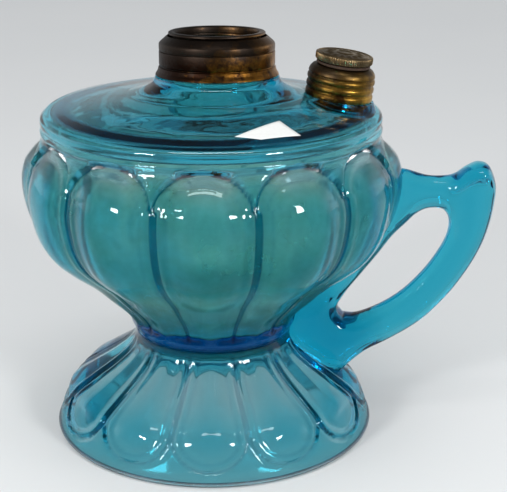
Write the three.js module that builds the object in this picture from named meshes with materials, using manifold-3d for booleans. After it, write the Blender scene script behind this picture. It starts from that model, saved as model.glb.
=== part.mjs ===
// Footed finger lamp of coloured glass: a looped font on a looped foot, a thumb-rest handle, a brass
// collar for the burner and a filler with a screw cap. Millimetres, +Z up, standing on z = 0.
// The lamp's axis is modelled at x = 0 with the handle along +X, then the whole lamp is centred.

import * as THREE from "three";
import { mergeVertices } from "three/addons/utils/BufferGeometryUtils.js";
import Module from "manifold-3d";

const wasm = await Module();
wasm.setup();

// Glass as a whole
const loopCount = 12;            // moulded loops round the font, and as many round the foot
const seatGap = 0.3;             // gap left where one piece seats on another
const loopRise = 1.1;            // how far a loop swells past its own edge
const grooveDepth = 0.9;         // groove between neighbouring loops, below the loop's edge
const grooveWidth = 2;           // floor of that groove

// Foot
const footRadius = 44.9;
const footHeight = 27;
const footTopRadius = 21.6;
const footEdge = 0.9;            // rounding of the edge that meets the table
const footRingWidth = 4.2;       // ring of glass the lamp stands on
const footWall = 4;
const footLoopTop = 11.5;        // height at which two neighbouring loops part towards the rim
const footLoopEnd = 4.2;         // lowest point of a loop

// Waist wafer
const waferRadius = 22.2;
const waferHeight = 3.4;

// Font
const bowlHeight = 59.5;         // from the font's base to the rim of its shoulder
const bowlBaseRadius = 21;
const bowlBellyRadius = 52.4;
const bowlRimRadius = 45.6;
const bowlBellyHeight = 40;      // widest circle above the font's base
const rimBandHeight = 3.4;       // plain band under the rim
const rimBandBulge = 0.4;
const bowlLoopPart = 46.3;       // where neighbouring loops part, above the font's base
const bowlLoopTop = 54.4;        // top of a loop's arch
const bowlWall = 3.4;
const bowlFloor = 5;

// Shoulder and neck
const rimStep = 0.5;             // small step inside the rim
const coneRadius = 24;           // where the shoulder's shallow cone meets the neck
const coneRise = 4.7;
const shoulderWall = 3;
const neckSeatHeight = 9.7;      // seat of the burner collar above the rim
const neckSeatRadius = 16.6;
const neckRadius = 13.6;         // glass tube inside the collar
const neckBore = 12.2;
const neckTubeHeight = 7;
const collarLean = 4;            // degrees that the collar leans back, as it was set in its plaster
const collarShift = 1.6;         // and its offset towards the handle

// Burner collar: the screw ring of a small burner
const collarHeight = 10.4;
const collarRadius = 15.5;
const collarLipRadius = 16.5;
const collarMouthRadius = 13.3;
const collarSheet = 0.6;         // brass sheet
const collarBeadDepth = 0.4;
const threadRadius = 11.1;
const threadDrop = 1;            // sleeve reaches this far below the seat
const threadLipRadius = 13;
const threadLipHeight = 0.8;

// Filler
const fillerInset = 11.5;        // filler's axis at its seat, in from the rim
const fillerSeatHeight = 3.7;    // above the rim
const fillerLean = 7.5;          // degrees outward
const fillerFlare = 15;          // radius of the boss where it leaves the shoulder
const fillerFlareDrop = 3.4;
const fillerTubeRadius = 7;
const fillerBore = 5.6;
const fillerTubeHeight = 4.5;
const fillerRadius = 9.1;
const fillerHeight = 8.5;
const fillerMouthRadius = 6;
const fillerSheet = 0.5;
const fillerSleeveDepth = 3.3;
const fillerBeadDepth = 0.35;
const fillerBeadCount = 3;

// Filler cap
const capRadius = 7.7;
const capKnurlDepth = 0.25;
const capKnurlCount = 78;
const capSkirt = 1.9;
const capCrown = 0.7;
const capFlat = 4.4;             // radius of the flat on the crown
const washerThickness = 0.6;
const washerRadius = 7.2;
const plugSheet = 0.6;
const plugDepth = 3.6;

// Handle
const handleOverhang = 25.5;     // beyond the font's widest circle
const handleRise = 4.8;          // of the thumb rest above that circle
const handleBottom = 14;
const handleThickness = 9;
const handleEdge = 2.8;          // rounding of the handle's edges
const handleRoot = 18;           // how near the lamp's axis the plate starts
const thumbLength = 6.2;
const thumbWidth = 6.6;
const thumbDepth = 2.2;

// Facets
const sides = 36;
const smallSides = 26;
const overrun = 2;               // how far a cutter runs past what it cuts
const weld = 0.00001;            // corners nearer than this are one

// Heights that the pieces stack up to
const waferBase = footHeight + seatGap;
const bowlBase = waferBase + waferHeight + seatGap;
const rimHeight = bowlBase + bowlHeight;
const bandBase = rimHeight - rimBandHeight;
const sector = (2 * Math.PI) / loopCount;

// Profile shares: [share of the height, share of the step between the two named radii]
const footShares = [[0.08, 0.995], [0.16, 0.957], [0.3, 0.918], [0.44, 0.817], [0.59, 0.56],
  [0.74, 0.285], [0.89, 0.086], [1, 0]];
const bowlRiseShares = [[0, 0], [0.125, 0.162], [0.225, 0.293], [0.35, 0.462], [0.475, 0.66], [0.6, 0.82],
  [0.725, 0.915], [0.85, 0.972], [1, 1]];
const bowlTuckShares = [[0.25, 0.955], [0.54, 0.6], [0.78, 0.2], [1, 0]];

// Flare from the shoulder up to the collar's seat: [share of the radius, of the drop, of the lean]
const flareShares = [[1, 1, 0], [0.46, 0.64, 0.4], [0.12, 0.34, 0.8]];

// Places across one loop, as shares of half its width, with the groove's floor outside them
const acrossShares = [-1, -0.82, -0.45, 0, 0.45, 0.82, 1];
const alongBowlShares = [0, 0.12, 0.26, 0.4, 0.54, 0.68, 0.82, 0.93, 1];
const alongFootShares = [0, 0.15, 0.36, 0.6, 0.82, 1];

// Handle outlines, as shares of its overhang, counted from the font's widest circle, and of its height
const handleShares = [[-0.329, 0.99], [0.022, 0.968], [0.255, 0.942], [0.41, 0.934], [0.554, 0.945],
  [0.673, 0.977], [0.801, 1], [0.902, 0.988], [0.969, 0.94], [1, 0.874], [0.957, 0.731], [0.801, 0.55],
  [0.548, 0.388], [0.242, 0.254], [-0.121, 0.158], [-0.35, 0.105], [-0.512, 0.045], [-0.619, 0]];
const loopholeShares = [[-0.607, 0.28], [-0.491, 0.277], [-0.28, 0.311], [0.001, 0.384], [0.227, 0.479],
  [0.374, 0.563], [0.481, 0.652], [0.508, 0.718], [0.481, 0.762], [0.42, 0.788], [0.267, 0.79],
  [0.148, 0.765], [0.044, 0.722], [-0.094, 0.664], [-0.253, 0.575], [-0.448, 0.469], [-0.613, 0.38],
  [-0.677, 0.324]];
const thumbShares = [0.734, 0.945];

// Smooth curve through a table of [place, value]
function smoothAt(table, place) {
  const last = table.length - 1;
  const at = Math.min(Math.max(place, table[0][0]), table[last][0]);
  let i = 0;
  while (i < last - 1 && table[i + 1][0] < at) i += 1;
  const slope = (k) => {
    const a = table[Math.max(k - 1, 0)];
    const b = table[Math.min(k + 1, last)];
    return (b[1] - a[1]) / (b[0] - a[0]);
  };
  const [x0, y0] = table[i];
  const [x1, y1] = table[i + 1];
  const run = x1 - x0;
  const t = (at - x0) / run;
  const easeOut = t * t * (3 - 2 * t);
  const tangents = t * (1 - t) * ((1 - t) * slope(i) - t * slope(i + 1)) * run;
  return y0 + (y1 - y0) * easeOut + tangents;
}

// Closed geometry to solid: only positions count, and its faces are turned outward
function solidOf(geometry) {
  const bare = geometry.clone();
  bare.deleteAttribute("normal");
  bare.deleteAttribute("uv");
  const merged = mergeVertices(bare, weld);
  const vertProperties = new Float32Array(merged.attributes.position.array);
  const index = merged.index.array;
  const corner = (i) => new THREE.Vector3().fromArray(vertProperties, 3 * i);
  const kept = [];
  let volume = 0;
  for (let i = 0; i < index.length; i += 3) {
    const [a, b, c] = [index[i], index[i + 1], index[i + 2]];
    if (a === b || b === c || c === a) continue;
    kept.push([a, b, c]);
    volume += corner(a).dot(corner(b).cross(corner(c)));
  }
  const triVerts = new Uint32Array(kept.flatMap(([a, b, c]) => (volume < 0 ? [a, c, b] : [a, b, c])));
  return new wasm.Manifold(new wasm.Mesh({ numProp: 3, vertProperties, triVerts }));
}

// Solid of revolution about +Z from [radius, height] points
function turned(points, count = sides) {
  const outline = points.map(([radius, height]) => new THREE.Vector2(radius, height));
  return solidOf(new THREE.LatheGeometry(outline, count).rotateX(Math.PI / 2));
}

// The same from a profile that doesn't touch the axis
function turnedRing(points, count = sides) {
  return turned([...points, points[0]], count);
}

function placed(solid, matrix) {
  return solid.transform(matrix.elements);
}

// Solid skinned over rings of points, closed at both ends by a fan
function skinned(rings) {
  const count = rings[0].length;
  const positions = rings.flat(2);
  const index = [];
  rings.slice(1).forEach((ring, row) => {
    for (let i = 0; i < count; i += 1) {
      const [a, b] = [row * count + i, row * count + ((i + 1) % count)];
      index.push(a, b, b + count, a, b + count, a + count);
    }
  });
  [[rings[0], 0], [rings.at(-1), (rings.length - 1) * count]].forEach(([ring, start], end) => {
    const centre = positions.length / 3;
    positions.push(...[0, 1, 2].map((axis) => ring.reduce((sum, point) => sum + point[axis], 0) / count));
    for (let i = 0; i < count; i += 1) {
      const [a, b] = [start + i, start + ((i + 1) % count)];
      index.push(centre, ...(end ? [a, b] : [b, a]));
    }
  });
  const geometry = new THREE.BufferGeometry();
  geometry.setAttribute("position", new THREE.Float32BufferAttribute(positions, 3));
  geometry.setIndex(index);
  return solidOf(geometry);
}

// Angles round the glass: for each loop its own places and the two edges of the groove's floor
function columns(radius) {
  const floorHalf = grooveWidth / 2 / radius;
  const edge = sector / 2 - 1.6 * floorHalf;
  const list = [];
  for (let k = 0; k < loopCount; k += 1) {
    list.push({ turn: k * sector - sector / 2 + 0.6 * floorHalf, across: -1, floor: true });
    acrossShares.forEach((share) => list.push({ turn: k * sector + share * edge, across: share }));
    list.push({ turn: k * sector + sector / 2 - 0.6 * floorHalf, across: 1, floor: true });
  }
  return list;
}

// How far a loop's surface lies below its crest
function loopDrop(column, along) {
  if (column.floor) return loopRise + grooveDepth;
  return loopRise * Math.min(1, column.across ** 2 + along ** 8);
}

// Height of a loop's round end over its own angle, from the parting height to its tip
function archHeight(column, part, tip) {
  const fromCentre = column.turn - Math.round(column.turn / sector) * sector;
  return part + (tip - part) * Math.sqrt(Math.max(0, 1 - (fromCentre / (sector / 2)) ** 2));
}

function ringPoint(turn, radius, height) {
  return [radius * Math.cos(turn), radius * Math.sin(turn), height];
}

// Crest of the font's loops at a height
const bowlBelly = bowlBase + bowlBellyHeight;
const bowlTable = [
  ...bowlRiseShares.map(([h, r]) => [bowlBase + h * bowlBellyHeight,
    bowlBaseRadius + r * (bowlBellyRadius - bowlBaseRadius)]),
  ...bowlTuckShares.map(([h, r]) => [bowlBelly + h * (bandBase - bowlBelly),
    bowlRimRadius + r * (bowlBellyRadius - bowlRimRadius)]),
];

// Outside of the font up to its rim, grown by a clearance where another piece is cut by it
function bowlOutside(clearance = 0) {
  const round = columns(bowlBellyRadius);
  const crest = (height) => smoothAt(bowlTable, height) + clearance;
  const part = bowlBase + bowlLoopPart;
  const tip = bowlBase + bowlLoopTop;
  const rings = [round.map((c) => ringPoint(c.turn, crest(bowlBase) - loopDrop(c, 0),
    bowlBase - clearance))];
  alongBowlShares.forEach((along) => {
    rings.push(round.map((c) => {
      const height = bowlBase + along * (archHeight(c, part, tip) - bowlBase);
      return ringPoint(c.turn, crest(height) - loopDrop(c, along), height);
    }));
  });
  const margins = [[grooveWidth * 0.3, loopRise + grooveDepth], [grooveWidth * 0.9, loopRise]];
  margins.forEach(([above, drop]) => {
    rings.push(round.map((c) => {
      const height = archHeight(c, part, tip) + above;
      const level = Math.max(crest(height) - drop, bowlRimRadius - drop + clearance);
      return ringPoint(c.turn, level, height);
    }));
  });
  rings.push(round.map((c) => ringPoint(c.turn, bowlRimRadius + clearance, bandBase)));
  rings.push(round.map((c) => ringPoint(c.turn, bowlRimRadius + rimBandBulge + clearance,
    bandBase + rimBandHeight / 2)));
  rings.push(round.map((c) => ringPoint(c.turn, bowlRimRadius + clearance, rimHeight + clearance)));
  return skinned(rings.slice(clearance ? 0 : 1));
}

// Places of the collar and of the filler
function frameAt(x, height, turnX, turnY) {
  const turn = new THREE.Euler(THREE.MathUtils.degToRad(turnX), THREE.MathUtils.degToRad(turnY), 0);
  return new THREE.Matrix4().makeRotationFromEuler(turn).setPosition(x, 0, height);
}
const collarFrame = frameAt(collarShift, rimHeight + neckSeatHeight, -collarLean, 0);
const fillerFrame = frameAt(bowlRimRadius - fillerInset, rimHeight + fillerSeatHeight, 0, fillerLean);

// Ring round the neck, between the lamp's upright axis and the collar's leaning one
function leaningRing([radius, height, lean]) {
  return Array.from({ length: sides }, (_, i) => {
    const [x, y] = ringPoint((i * 2 * Math.PI) / sides, radius, height);
    const upright = new THREE.Vector3(x, y, height + rimHeight + neckSeatHeight);
    return upright.lerp(new THREE.Vector3(x, y, height).applyMatrix4(collarFrame), lean).toArray();
  });
}

// Space that holds the oil
function reservoir() {
  const wallIn = (height) => smoothAt(bowlTable, height) - loopRise - grooveDepth - bowlWall;
  const floor = bowlBase + bowlFloor;
  const ceiling = rimHeight - shoulderWall;
  const points = [[0, floor], [wallIn(floor) * 0.8, floor + bowlFloor * 0.1]];
  [0.07, 0.2, 0.35, 0.5, 0.65, 0.8, 0.93].forEach((share) => {
    const height = floor + share * (ceiling - floor);
    points.push([wallIn(height), height]);
  });
  points.push([wallIn(ceiling) - bowlWall, ceiling + rimStep]);
  points.push([coneRadius, ceiling + coneRise]);
  points.push([0, ceiling + coneRise]);
  return turned(points);
}

// Font: bowl, shoulder, neck and filler boss in one, hollowed
function makeFont() {
  const flare = neckSeatHeight - coneRise;
  const shoulder = skinned([
    [bowlRimRadius - rimStep, -neckSeatHeight - rimStep, 0],
    [bowlRimRadius - rimStep, rimStep / 2 - neckSeatHeight, 0],
    [bowlRimRadius - 3 * rimStep, rimStep - neckSeatHeight, 0],
    ...flareShares.map(([r, drop, lean]) => [neckSeatRadius + r * (coneRadius - neckSeatRadius),
      -drop * flare, lean]),
    [neckSeatRadius, -seatGap, 1], [neckRadius, -seatGap, 1], [neckRadius, neckTubeHeight, 1],
  ].map(leaningRing));
  const boss = turned([[0, -2 * fillerFlareDrop], [fillerFlare, -2 * fillerFlareDrop],
    [fillerFlare, -fillerFlareDrop / 2], [fillerFlare - fillerFlareDrop, -fillerFlareDrop * 0.3],
    [fillerRadius + seatGap, -seatGap], [fillerTubeRadius, -seatGap],
    [fillerTubeRadius, fillerTubeHeight], [0, fillerTubeHeight]], smallSides);
  const neckHole = turned([[0, -neckSeatHeight], [neckBore, -neckSeatHeight],
    [neckBore, neckTubeHeight + overrun], [0, neckTubeHeight + overrun]], smallSides);
  const fillerHole = turned([[0, -3 * fillerFlareDrop], [fillerBore, -3 * fillerFlareDrop],
    [fillerBore, fillerTubeHeight + overrun], [0, fillerTubeHeight + overrun]], smallSides);
  const fillerRoom = turnedRing([[fillerTubeRadius, -seatGap], [fillerRadius + seatGap, -seatGap],
    [fillerRadius + seatGap, fillerHeight], [fillerTubeRadius, fillerHeight]], smallSides);
  const underRim = turned([[0, bowlBase], [bowlRimRadius - rimStep, bowlBase],
    [bowlRimRadius - rimStep, rimHeight + 2 * coneRise], [0, rimHeight + 2 * coneRise]]);
  return bowlOutside()
    .add(shoulder)
    .add(placed(boss, fillerFrame).intersect(underRim))
    .subtract(reservoir())
    .subtract(placed(neckHole, collarFrame))
    .subtract(placed(fillerHole, fillerFrame))
    .subtract(placed(fillerRoom, fillerFrame));
}

// Crest of the foot's loops at a height
const footTable = footShares.map(([h, r]) => [h * footHeight,
  footTopRadius + r * (footRadius - footTopRadius)]);

function footOutside(clearance = 0) {
  const round = columns(footRadius);
  const crest = (height) => smoothAt(footTable, height) + clearance;
  const rings = [
    round.map((c) => ringPoint(c.turn, footRadius - footEdge + clearance, 0)),
    round.map((c) => ringPoint(c.turn, footRadius + clearance, footEdge)),
    round.map((c) => ringPoint(c.turn, crest(2.4 * footEdge), 2.4 * footEdge)),
  ];
  const margins = [[-grooveWidth * 0.7, loopRise * 0.4], [-grooveWidth * 0.2, loopRise + grooveDepth * 0.6]];
  margins.forEach(([below, sunk]) => {
    rings.push(round.map((c) => {
      const height = archHeight(c, footLoopTop, footLoopEnd) + below;
      return ringPoint(c.turn, crest(height) - sunk, height);
    }));
  });
  alongFootShares.forEach((along) => {
    rings.push(round.map((c) => {
      const end = archHeight(c, footLoopTop, footLoopEnd);
      const height = end + along * (footHeight - end);
      return ringPoint(c.turn, crest(height) - loopDrop(c, 1 - along), height);
    }));
  });
  if (clearance) {
    rings.push(round.map((c) => ringPoint(c.turn, footTopRadius + clearance - loopDrop(c, 0),
      footHeight + clearance)));
  }
  return skinned(rings);
}

// Foot: hollow underneath, standing on a ring
function makeFoot() {
  const inside = footRadius - footRingWidth;
  const roof = footHeight - footWall;
  const hollow = turned([[0, -overrun], [inside, -overrun], [inside, 0],
    ...footShares.slice(2, 6).map(([h, r]) => [(footTopRadius + r * (inside - footTopRadius)) - footWall,
      h * roof]),
    [footTopRadius - footWall, roof * 0.93], [footTopRadius / 2, roof], [0, roof]]);
  return footOutside().subtract(hollow);
}

// Waist wafer: the bead of glass that joins font and foot
function waferProfile(clearance = 0) {
  const [low, high] = [waferBase - clearance, waferBase + waferHeight + clearance];
  const [bead, half] = [waferRadius + clearance, waferHeight / 2];
  return [[0, low], [bead - half * 0.7, low], [bead - half * 0.2, low + half * 0.35], [bead, low + half],
    [bead, high - half], [bead - half * 0.2, high - half * 0.35], [bead - half * 0.7, high], [0, high]];
}

// Handle: a flat plate with rounded edges, a loop for the finger and a thumb rest
function makeHandle() {
  const top = bowlBelly + handleRise;
  const at = ([x, z]) => new THREE.Vector2(bowlBellyRadius + x * handleOverhang,
    handleBottom + z * (top - handleBottom));
  const [start, ...rest] = handleShares.map(at);
  const outline = new THREE.Shape();
  outline.moveTo(start.x, start.y);
  outline.splineThru(rest);
  outline.lineTo(handleRoot, handleBottom);
  outline.lineTo(handleRoot, bowlBase + bowlFloor);
  outline.lineTo(start.x, start.y);
  const [first, ...others] = loopholeShares.map(at);
  const loophole = new THREE.Path();
  loophole.moveTo(first.x, first.y);
  loophole.splineThru([...others, first]);
  outline.holes.push(loophole);
  const plate = new THREE.ExtrudeGeometry(outline, {
    depth: handleThickness - 2 * handleEdge,
    bevelEnabled: true,
    bevelThickness: handleEdge,
    bevelSize: handleEdge,
    bevelOffset: -handleEdge,
    bevelSegments: 2,
    curveSegments: 2,
  });
  plate.translate(0, 0, handleEdge - handleThickness / 2).rotateX(Math.PI / 2);
  const thumb = new THREE.SphereGeometry(1, 20, 12);
  const thumbAt = at(thumbShares);
  thumb.scale(thumbLength, thumbWidth, thumbDepth).rotateY(-Math.PI / 7);
  thumb.translate(thumbAt.x, 0, thumbAt.y);
  return solidOf(plate)
    .add(solidOf(thumb))
    .subtract(bowlOutside(seatGap))
    .subtract(footOutside(seatGap))
    .subtract(turned(waferProfile(seatGap)));
}

// Burner collar: outer sheet with a flared lip, two rolled grooves and a chamfered top
function makeCollarShell() {
  const inner = collarRadius - collarSheet;
  const [low, mid, high] = [collarHeight * 0.23, collarHeight * 0.6, collarHeight * 0.82];
  const bead = collarBeadDepth;
  return turnedRing([
    [collarLipRadius, 0], [collarLipRadius, bead], [collarRadius + bead, low / 2],
    [collarRadius, low - bead], [collarRadius - bead, low], [collarRadius, low + bead],
    [collarRadius, mid - bead], [collarRadius - bead / 2, mid], [collarRadius, mid + bead],
    [collarRadius, high], [collarRadius - bead, high + bead], [collarMouthRadius, collarHeight],
    [collarMouthRadius, collarHeight - collarSheet], [inner - bead, high], [inner, high - bead],
    [inner, low - bead], [collarRadius, 0]]);
}

// Threaded sleeve inside it, with its top edge rolled outward
function makeCollarThread() {
  const outer = threadRadius + collarSheet;
  const shelf = collarHeight + seatGap;
  const roll = threadLipHeight / 2;
  return turnedRing([[threadRadius, -threadDrop], [outer, -threadDrop], [outer, collarHeight - collarSheet],
    [outer + seatGap, shelf - seatGap], [threadLipRadius, shelf], [threadLipRadius, shelf + roll],
    [threadLipRadius - roll, shelf + threadLipHeight], [threadRadius + roll, shelf + threadLipHeight],
    [threadRadius, shelf + roll]]);
}

// Plaster that sets the collar on the glass neck
function makeCollarPlaster() {
  const outer = collarRadius - collarSheet - seatGap;
  const inner = threadRadius + collarSheet + seatGap;
  const top = collarHeight * 0.82 - collarBeadDepth;
  const step = neckTubeHeight + seatGap;
  return turnedRing([[outer, collarHeight * 0.23], [outer, top - seatGap], [outer - seatGap, top],
    [inner, top], [inner, step], [neckRadius + seatGap, step], [neckRadius + seatGap, 0],
    [outer - seatGap, 0]]);
}

// Filler collar: one pressed shell, its beads outside and its screw mouth turned in at the top
function makeFillerCollar() {
  const wall = fillerSheet;
  const shoulder = fillerRadius - fillerMouthRadius - wall;
  const straight = fillerHeight - shoulder * 0.75;
  const outside = [[fillerRadius, 0]];
  for (let k = 1; k <= fillerBeadCount; k += 1) {
    const groove = (k * straight) / (fillerBeadCount + 0.4);
    outside.push([fillerRadius, groove - fillerBeadDepth], [fillerRadius - fillerBeadDepth, groove],
      [fillerRadius, groove + fillerBeadDepth]);
  }
  return turnedRing([...outside,
    [fillerRadius - shoulder * 0.15, straight + shoulder * 0.35],
    [fillerRadius - shoulder * 0.5, fillerHeight - shoulder * 0.12],
    [fillerRadius - shoulder, fillerHeight], [fillerMouthRadius, fillerHeight],
    [fillerMouthRadius, fillerHeight - fillerSleeveDepth],
    [fillerMouthRadius + wall, fillerHeight - fillerSleeveDepth],
    [fillerMouthRadius + wall, fillerHeight - wall * 2],
    [fillerRadius - wall - shoulder * 0.5, fillerHeight - wall * 2],
    [fillerRadius - wall - fillerBeadDepth, straight - wall],
    [fillerRadius - wall - fillerBeadDepth, 0]], smallSides);
}

function makeFillerPlaster() {
  const outer = fillerRadius - fillerSheet - fillerBeadDepth - seatGap;
  const inner = fillerMouthRadius + fillerSheet + seatGap;
  const step = fillerTubeHeight + seatGap;
  const top = fillerHeight - fillerSleeveDepth * 0.75;
  return turnedRing([[outer, 0], [outer, top], [inner, top], [inner, step],
    [fillerTubeRadius + seatGap, step], [fillerTubeRadius + seatGap, 0]], smallSides);
}

// Cap: leather washer, threaded plug and knurled knob, one above the other
const washerBase = fillerHeight + seatGap;
const knobBase = washerBase + washerThickness + seatGap;
const plugRadius = fillerMouthRadius - seatGap;

function makeWasher() {
  const top = washerBase + washerThickness;
  return turnedRing([[fillerMouthRadius, washerBase], [washerRadius, washerBase], [washerRadius, top],
    [fillerMouthRadius, top]], smallSides);
}

function makePlug() {
  const top = knobBase - seatGap;
  const bore = plugRadius - plugSheet;
  return turned([[0, top], [plugRadius, top], [plugRadius, top - plugDepth], [bore, top - plugDepth],
    [bore, top - plugSheet], [0, top - plugSheet]], smallSides);
}

function makeKnob() {
  const rim = new THREE.Shape();
  const flutes = 2 * capKnurlCount;
  for (let i = 0; i <= flutes; i += 1) {
    const turn = (i * 2 * Math.PI) / flutes;
    const radius = capRadius - (i % 2) * capKnurlDepth;
    rim[i ? "lineTo" : "moveTo"](radius * Math.cos(turn), radius * Math.sin(turn));
  }
  const skirt = new THREE.ExtrudeGeometry(rim, { depth: capSkirt, bevelEnabled: false, curveSegments: 1 });
  skirt.translate(0, 0, knobBase);
  const top = knobBase + capSkirt;
  const edge = capRadius - 2 * capKnurlDepth;
  const crown = turned([[0, knobBase + capSkirt / 2], [edge, knobBase + capSkirt / 2], [edge, top],
    [(edge + capFlat) / 2, top + capCrown * 0.7], [capFlat, top + capCrown], [0, top + capCrown]],
  smallSides);
  return solidOf(skirt).add(crown);
}

// Finishes
const glass = { color: 0x1f9cc4, roughness: 0.06, metalness: 0, transparent: true, opacity: 0.55 };
const darkBrass = { color: 0x4a3526, roughness: 0.5, metalness: 0.8 };
const warmBrass = { color: 0x8a6a2c, roughness: 0.42, metalness: 0.85 };
const plaster = { color: 0xd9d2c2, roughness: 0.9, metalness: 0 };
const leather = { color: 0x4b3524, roughness: 0.85, metalness: 0 };

function piece(name, solid, finish) {
  const { vertProperties, triVerts } = solid.getMesh();
  const geometry = new THREE.BufferGeometry();
  geometry.setAttribute("position", new THREE.BufferAttribute(new Float32Array(vertProperties), 3));
  geometry.setIndex(new THREE.BufferAttribute(new Uint32Array(triVerts), 1));
  geometry.computeVertexNormals();
  const mesh = new THREE.Mesh(geometry, new THREE.MeshStandardMaterial(finish));
  mesh.name = name;
  return mesh;
}

function groupAt(matrix, ...meshes) {
  const group = new THREE.Group();
  group.applyMatrix4(matrix);
  group.add(...meshes);
  return group;
}

const lamp = new THREE.Group();
lamp.name = "finger_lamp";
lamp.add(
  piece("foot", makeFoot(), glass),
  piece("waist_wafer", turned(waferProfile()), glass),
  piece("font", makeFont(), glass),
  piece("handle", makeHandle(), glass),
  groupAt(collarFrame,
    piece("burner_collar_shell", makeCollarShell(), darkBrass),
    piece("burner_collar_thread", makeCollarThread(), darkBrass),
    piece("burner_collar_plaster", makeCollarPlaster(), plaster)),
  groupAt(fillerFrame,
    piece("filler_collar", makeFillerCollar(), warmBrass),
    piece("filler_plaster", makeFillerPlaster(), plaster),
    piece("filler_cap_washer", makeWasher(), leather),
    piece("filler_cap_plug", makePlug(), warmBrass),
    piece("filler_cap_knob", makeKnob(), darkBrass)),
);
lamp.position.x = -new THREE.Box3().setFromObject(lamp).getCenter(new THREE.Vector3()).x;
lamp.updateMatrixWorld(true);

export default lamp;
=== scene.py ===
import math

import bpy
import numpy as np
from mathutils import Euler, Matrix, Vector
from mathutils.bvhtree import BVHTree
from mathutils.geometry import delaunay_2d_cdt


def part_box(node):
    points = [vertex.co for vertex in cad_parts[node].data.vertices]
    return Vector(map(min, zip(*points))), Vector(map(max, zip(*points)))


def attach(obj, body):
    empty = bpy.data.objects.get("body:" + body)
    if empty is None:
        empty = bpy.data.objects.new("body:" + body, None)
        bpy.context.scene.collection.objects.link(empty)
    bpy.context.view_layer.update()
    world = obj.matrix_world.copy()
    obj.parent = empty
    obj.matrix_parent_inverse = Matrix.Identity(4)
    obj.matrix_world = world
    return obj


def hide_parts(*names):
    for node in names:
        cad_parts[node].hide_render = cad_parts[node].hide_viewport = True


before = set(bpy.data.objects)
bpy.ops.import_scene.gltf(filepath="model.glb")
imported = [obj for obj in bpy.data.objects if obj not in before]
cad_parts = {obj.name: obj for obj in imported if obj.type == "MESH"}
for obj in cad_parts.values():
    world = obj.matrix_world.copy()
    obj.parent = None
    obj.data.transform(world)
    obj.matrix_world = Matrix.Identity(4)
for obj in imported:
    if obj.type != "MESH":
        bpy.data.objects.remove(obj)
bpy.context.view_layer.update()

# CAMERA. The eye stands a third of a metre from the lamp, a little above it and two degrees round towards the
# handle, and looks down at it through a long lens.
MM = 0.001
foot_low, foot_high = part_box("foot")
AXIS_X = (foot_low[0] + foot_high[0]) / 2  # the lamp's own axis in the frame
CAMERA_AWAY, CAMERA_HIGH = 368.3 * MM, 182 * MM
CAMERA_ROUND, CAMERA_TURN, CAMERA_DOWN = (math.radians(a) for a in (2.0, 0.24, 19.53))
SENSOR_WIDTH, FOCAL_PIXELS, PICTURE_PIXELS = 36, 1400, 507


def new_object(name, data):
    made = bpy.data.objects.new(name, data)
    bpy.context.collection.objects.link(made)
    return made


camera = new_object("camera", bpy.data.cameras.new("camera"))
camera.location = (AXIS_X + CAMERA_AWAY * math.sin(CAMERA_ROUND), -CAMERA_AWAY * math.cos(CAMERA_ROUND),
                   CAMERA_HIGH)
camera.rotation_euler = (math.pi / 2 - CAMERA_DOWN, 0, CAMERA_TURN)
camera.data.sensor_fit, camera.data.sensor_width = "HORIZONTAL", SENSOR_WIDTH
camera.data.lens = FOCAL_PIXELS * SENSOR_WIDTH / PICTURE_PIXELS
camera.data.clip_start = 10 * MM
bpy.context.scene.camera = camera

# FLOOR AND LIGHT. A pale matt table top in a pale room, and two soft boxes in front of the lamp whose small
# bright squares show on each loop of the glass. A weak long one overhead draws the narrow arcs near the tops
# of the loops.
FLOOR_HALF, FLOOR_DROP = 4.0, 0.2 * MM


def linear(hex_colour):
    """An sRGB hex colour as linear RGBA."""
    channels = [int(hex_colour[i:i + 2], 16) / 255 for i in (1, 3, 5)]
    return [c / 12.92 if c <= 0.04045 else ((c + 0.055) / 1.055) ** 2.4 for c in channels] + [1.0]


def spaced(mm):
    """The scale of a pattern whose marks lie mm apart."""
    return 1 / (mm * MM)


def add(tree, kind, settings=(), **inputs):
    """One shader node with its settings and its inputs, each a value or another node's socket.

    An input goes by its name, or by _ and its number where names repeat.
    """
    node = tree.nodes.new("ShaderNode" + kind)
    for name, value in dict(settings).items():
        setattr(node, name, value)
    for name, value in inputs.items():
        socket = node.inputs[int(name[1:])] if name[1:].isdigit() else node.inputs[name.replace("_", " ")]
        if isinstance(value, bpy.types.NodeSocket):
            tree.links.new(value, socket)
        else:
            socket.default_value = value
    return node


def material(name, build):
    """A material whose node tree build() fills in; build returns the surface and, if any, the volume."""
    made = bpy.data.materials.new(name)
    made.use_nodes = True
    tree = made.node_tree
    tree.nodes.clear()
    surface, volume = build(tree)
    out = add(tree, "OutputMaterial", Surface=surface)
    if volume:
        tree.links.new(volume, out.inputs["Volume"])
    return made


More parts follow.
